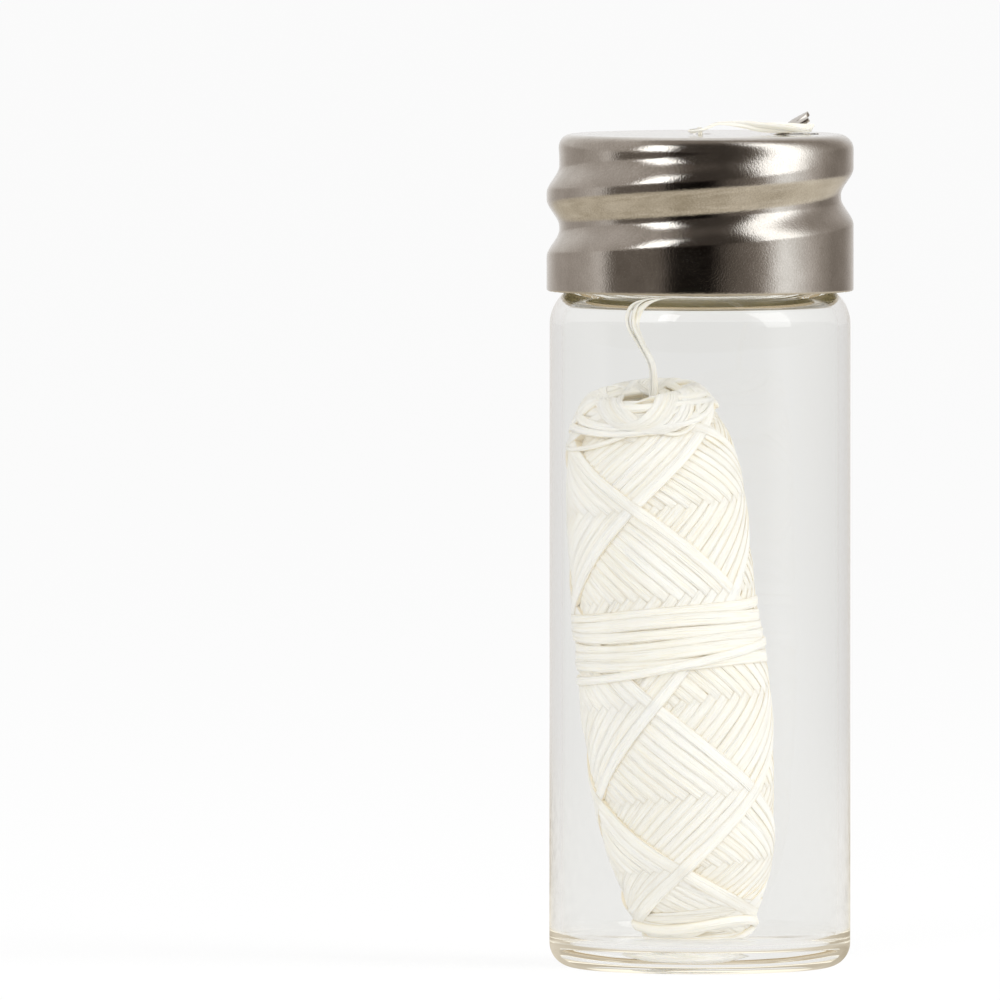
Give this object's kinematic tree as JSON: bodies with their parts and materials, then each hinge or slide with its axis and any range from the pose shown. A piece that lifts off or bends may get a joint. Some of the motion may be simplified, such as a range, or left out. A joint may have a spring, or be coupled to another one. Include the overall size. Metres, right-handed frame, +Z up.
{
  "type": "dental floss dispenser",
  "caption": "Glass vial with a rolled-thread metal screw cap, holding a cross-wound floss spool drawn through the cap to a raised cutter tab.",
  "frame": {"origin": "middle of the base, where the vial stands", "axes": "+Z up the vial's axis towards the cap; -Y towards the viewer of the picture; +X to the viewer's right, where the cutter tab stands"},
  "size_m": [0.0254, 0.0254, 0.0711],
  "materials": {
    "glass": "clear, glossy",
    "steel": "satin, drawn sheet",
    "liner": "matte foam",
    "floss": "waxed silk"
  },
  "bodies": {
    "vial": {"glass_vial": "glass", "floss_core": "floss", "floss_winding": "floss", "floss_belt": "floss", "floss_strand": "floss"},
    "liner": {"cap_liner": "liner"},
    "cap": {"screw_cap": "steel", "floss_tail": "floss"}
  },
  "joints": [
    {"name": "cap_lift", "type": "slide", "parent": "vial", "child": "liner", "axis": [0, 0, 1], "range_m": [0, 0.0159], "deforming": ["floss_strand"]},
    {"name": "cap_turn", "type": "hinge", "parent": "liner", "child": "cap", "pos_m": [0, 0, 0.0692], "axis": [0, 0, 1], "range_deg": [0, 1080]}
  ],
  "couplings": [
    {"joint": "cap_lift", "follows": "cap_turn", "m_per_rad": 0.00084352}
  ]
}
